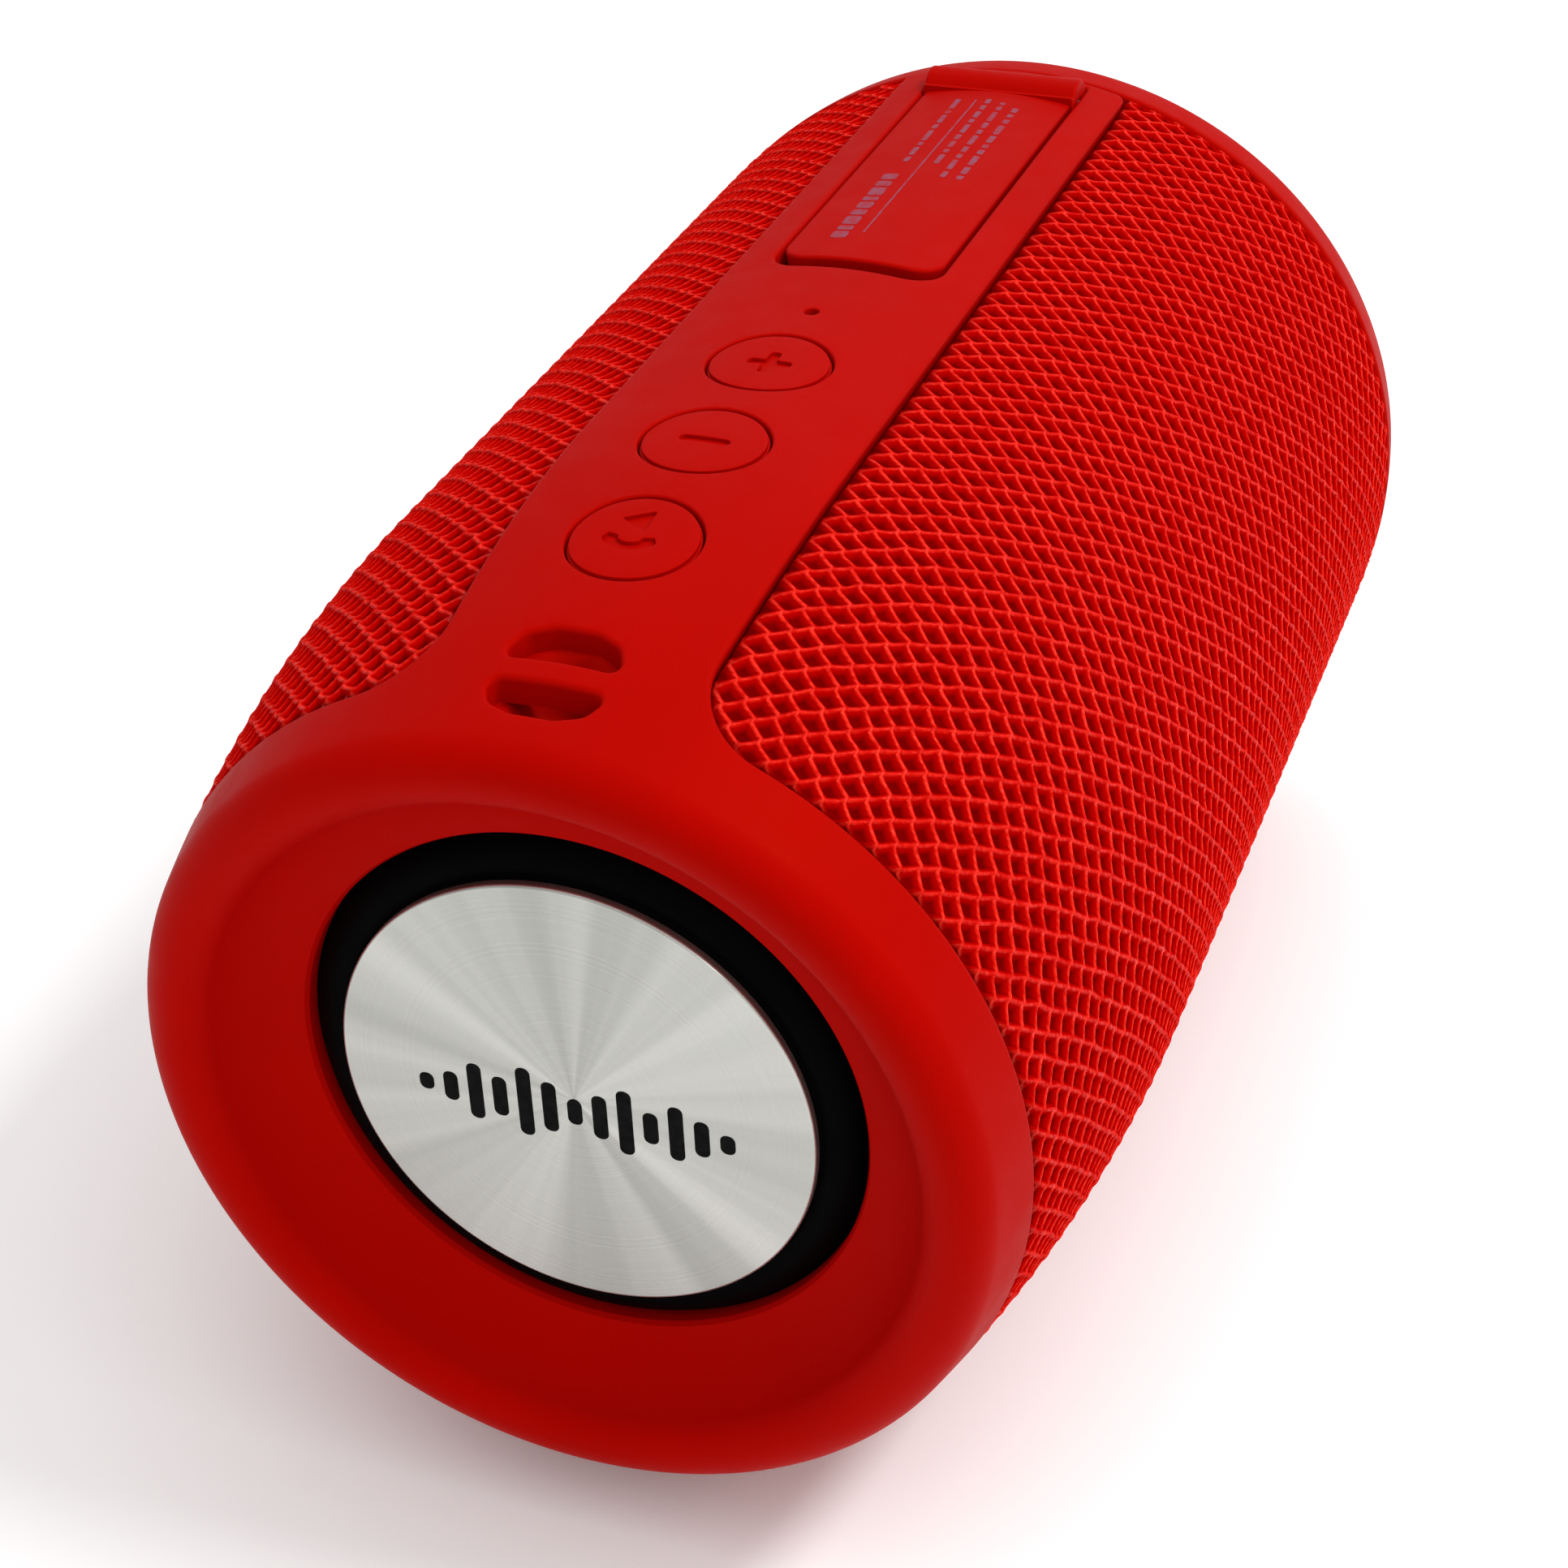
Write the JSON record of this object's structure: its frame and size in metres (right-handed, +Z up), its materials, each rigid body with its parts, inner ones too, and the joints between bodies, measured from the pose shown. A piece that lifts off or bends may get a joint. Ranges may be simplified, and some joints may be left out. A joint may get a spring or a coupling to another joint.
{
  "type": "portable bluetooth speaker",
  "caption": "Drum-shaped portable speaker in a knitted sleeve, with push buttons, a hinged port flap, a lanyard bar and a sprung disc in each dished end.",
  "frame": {"origin": "centre of the object's box, on the surface that it rests on", "axes": "+X along the drum's axis from the tapered end to the full end, +Z up through the control strip"},
  "size_m": [0.13, 0.08, 0.0824],
  "materials": {
    "red_shell": "soft-touch moulding with a fine grain",
    "red_knit": "open diamond knit",
    "black_rubber": "satin",
    "spun_aluminium": "fine turned grooves",
    "black_plastic": "fine spark texture",
    "white_plastic": "smooth",
    "zinc_steel": "zinc plated",
    "circuit_board": "solder mask",
    "chip_black": "moulded",
    "cell_wrap": "shrink wrap",
    "lead_red": "cable jacket",
    "basket_steel": "powder coat",
    "ferrite": "sintered ceramic",
    "cone_paper": "pressed pulp",
    "coil_copper": "enamelled winding",
    "driver_rubber": "satin",
    "spider_cloth": "impregnated cloth"
  },
  "bodies": {
    "speaker": {"aux_jack": "black_plastic", "battery_cells": "cell_wrap", "battery_cradles": "black_plastic", "battery_leads": "lead_red", "board_chips": "chip_black", "button_board": "circuit_board", "button_board_screws": "zinc_steel", "cabinet_front_shell": "black_plastic", "cabinet_rear_shell": "black_plastic", "cabinet_screws": "zinc_steel", "cabinet_seal": "black_rubber", "card_slot": "zinc_steel", "driver_basket_far": "basket_steel", "driver_basket_near": "basket_steel", "driver_magnet_far": "ferrite", "driver_magnet_near": "ferrite", "driver_motor_steel_far": "zinc_steel", "driver_motor_steel_near": "zinc_steel", "driver_screws": "zinc_steel", "driver_spider_far": "spider_cloth", "driver_spider_near": "spider_cloth", "driver_surround_far": "driver_rubber", "driver_surround_near": "driver_rubber", "fabric_sleeve": "red_knit", "far_end_cap": "red_shell", "flap_hinge_pin": "zinc_steel", "foot_rails": "black_rubber", "grille_shell": "black_plastic", "lead_grommet": "black_rubber", "main_board": "circuit_board", "main_board_screws": "zinc_steel", "microphone": "zinc_steel", "microphone_boot": "black_rubber", "near_end_cap_with_strip": "red_shell", "port_panel": "black_plastic", "power_switch_body": "black_plastic", "radiator_frame_far": "black_plastic", "radiator_frame_near": "black_plastic", "radiator_surround_far": "black_rubber", "radiator_surround_near": "black_rubber", "tact_switches": "black_plastic", "usb_socket": "zinc_steel"},
    "play_button": {"button_play": "red_shell", "switch_plunger_play": "white_plastic"},
    "minus_button": {"button_minus": "red_shell", "switch_plunger_minus": "white_plastic"},
    "plus_button": {"button_plus": "red_shell", "switch_plunger_plus": "white_plastic"},
    "flap": {"port_flap": "red_shell"},
    "switch_slider": {"power_switch_slider": "white_plastic"},
    "near_radiator": {"radiator_disc_near": "spun_aluminium", "radiator_weight_near": "zinc_steel"},
    "far_radiator": {"radiator_disc_far": "spun_aluminium", "radiator_weight_far": "zinc_steel"},
    "near_cone": {"driver_cone_near": "cone_paper", "driver_voice_coil_near": "coil_copper", "driver_dust_cap_near": "cone_paper"},
    "far_cone": {"driver_cone_far": "cone_paper", "driver_voice_coil_far": "coil_copper", "driver_dust_cap_far": "cone_paper"}
  },
  "joints": [
    {"name": "button_play_press", "type": "slide", "parent": "speaker", "child": "play_button", "axis": [0, 0, -1], "range_m": [0, 0.0005], "stiffness_N_per_m": 800},
    {"name": "button_minus_press", "type": "slide", "parent": "speaker", "child": "minus_button", "axis": [0, 0, -1], "range_m": [0, 0.0005], "stiffness_N_per_m": 800},
    {"name": "button_plus_press", "type": "slide", "parent": "speaker", "child": "plus_button", "axis": [0, 0, -1], "range_m": [0, 0.0005], "stiffness_N_per_m": 800},
    {"name": "flap_hinge", "type": "hinge", "parent": "speaker", "child": "flap", "pos_m": [0.0531, 0, 0.0799], "axis": [0, 1, 0], "range_deg": [0, 110]},
    {"name": "power_switch_slide", "type": "slide", "parent": "speaker", "child": "switch_slider", "axis": [1, 0, 0], "range_m": [0, 0.002]},
    {"name": "radiator_near_travel", "type": "slide", "parent": "speaker", "child": "near_radiator", "axis": [1, 0, 0], "range_m": [-0.0025, 0.0025], "stiffness_N_per_m": 900, "deforming": ["radiator_surround_near"]},
    {"name": "radiator_far_travel", "type": "slide", "parent": "speaker", "child": "far_radiator", "axis": [-1, 0, 0], "range_m": [-0.0025, 0.0025], "stiffness_N_per_m": 900, "deforming": ["radiator_surround_far"]},
    {"name": "driver_near_travel", "type": "slide", "parent": "speaker", "child": "near_cone", "axis": [0, 1, 0], "range_m": [-0.0015, 0.0015], "stiffness_N_per_m": 900, "deforming": ["driver_surround_near", "driver_spider_near"]},
    {"name": "driver_far_travel", "type": "slide", "parent": "speaker", "child": "far_cone", "axis": [0, 1, 0], "range_m": [-0.0015, 0.0015], "stiffness_N_per_m": 900, "deforming": ["driver_surround_far", "driver_spider_far"]}
  ]
}
